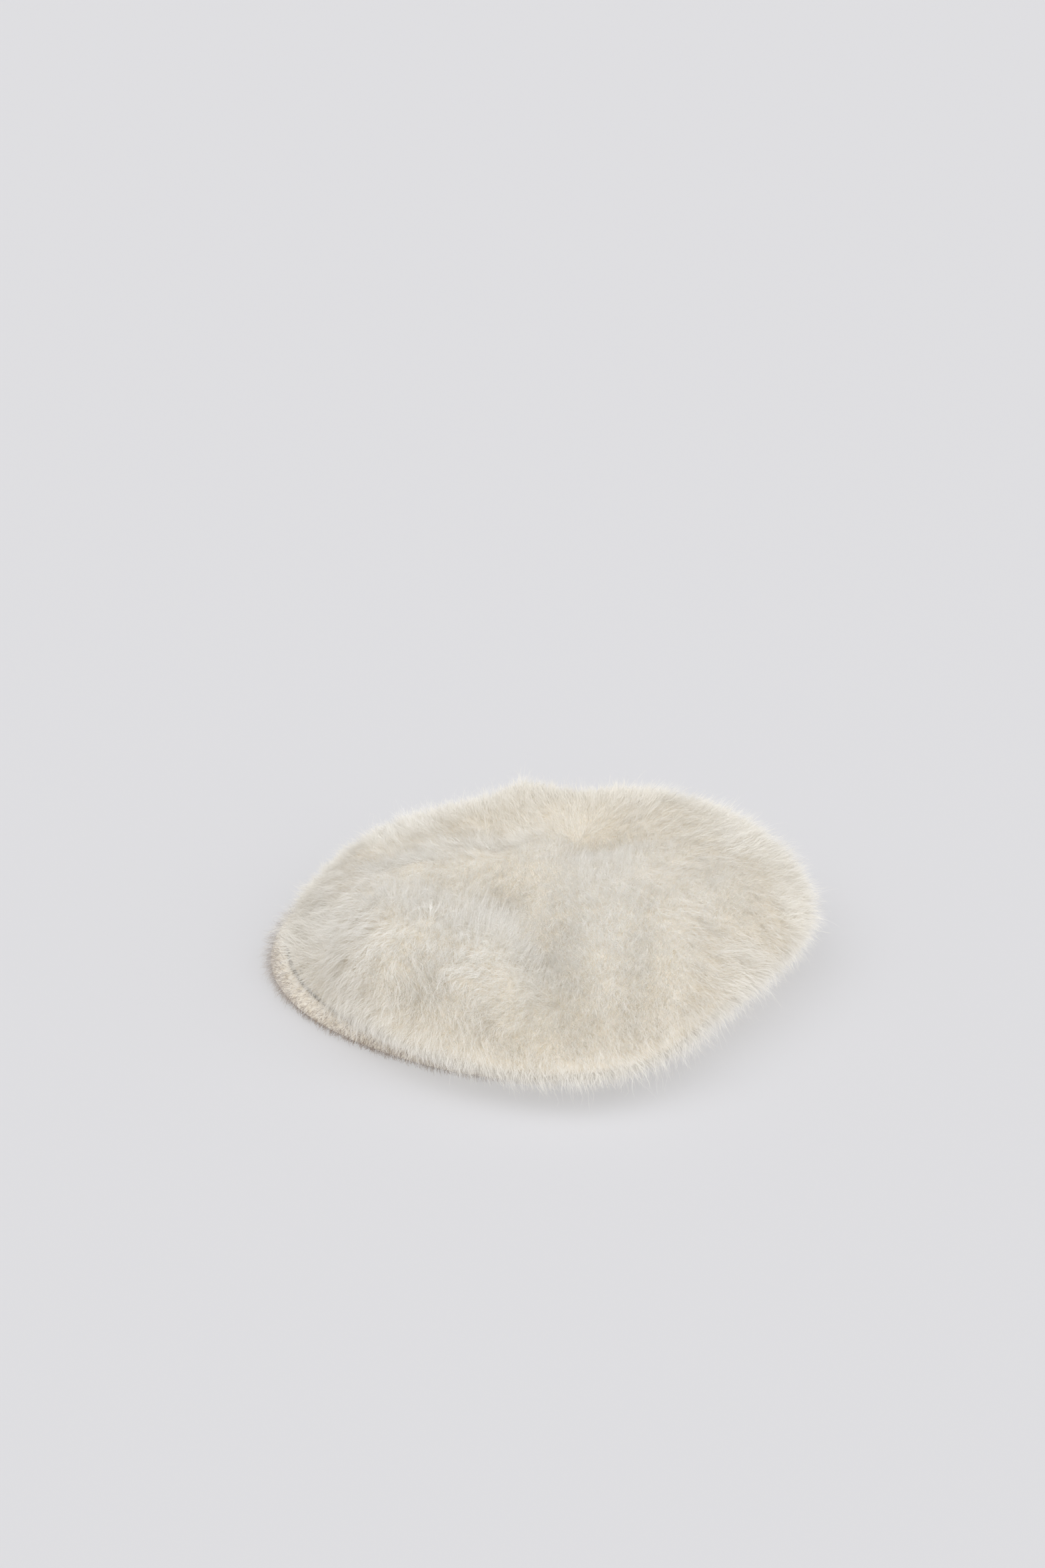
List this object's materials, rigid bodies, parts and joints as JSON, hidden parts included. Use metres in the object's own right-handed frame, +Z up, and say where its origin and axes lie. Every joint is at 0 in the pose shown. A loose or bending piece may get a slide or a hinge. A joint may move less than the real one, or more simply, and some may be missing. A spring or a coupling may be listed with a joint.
{
  "type": "angora beret",
  "caption": "Round brushed angora beret, slumped on its headband, with a soft overhanging crown, a rolled rim, a folded headband with elastic, and linked seams.",
  "frame": {"origin": "on the floor plane, under the middle of the hat's bounding box", "axes": "+Z up, out of the top of the crown; X along the lying hat's longest width; -Y is the front, where the crown hangs lowest"},
  "size_m": [0.2746, 0.2588, 0.0576],
  "materials": {
    "angora_crown": "brushed angora knit, long soft cream fibres over a felted ground",
    "angora_underside": "brushed angora knit, shorter flatter cream fibres",
    "band_knit": "fine ribbed knit with a light fuzz",
    "linking_yarn": "soft two-ply cream yarn",
    "elastic": "woven flat white elastic"
  },
  "bodies": {
    "root": {"crown_top": "angora_crown", "crown_underside": "angora_underside", "rim_seam": "linking_yarn", "crown_gather": "linking_yarn", "headband": "band_knit", "band_seam": "linking_yarn", "headband_elastic": "elastic", "hem_stitch": "linking_yarn"}
  },
  "joints": []
}
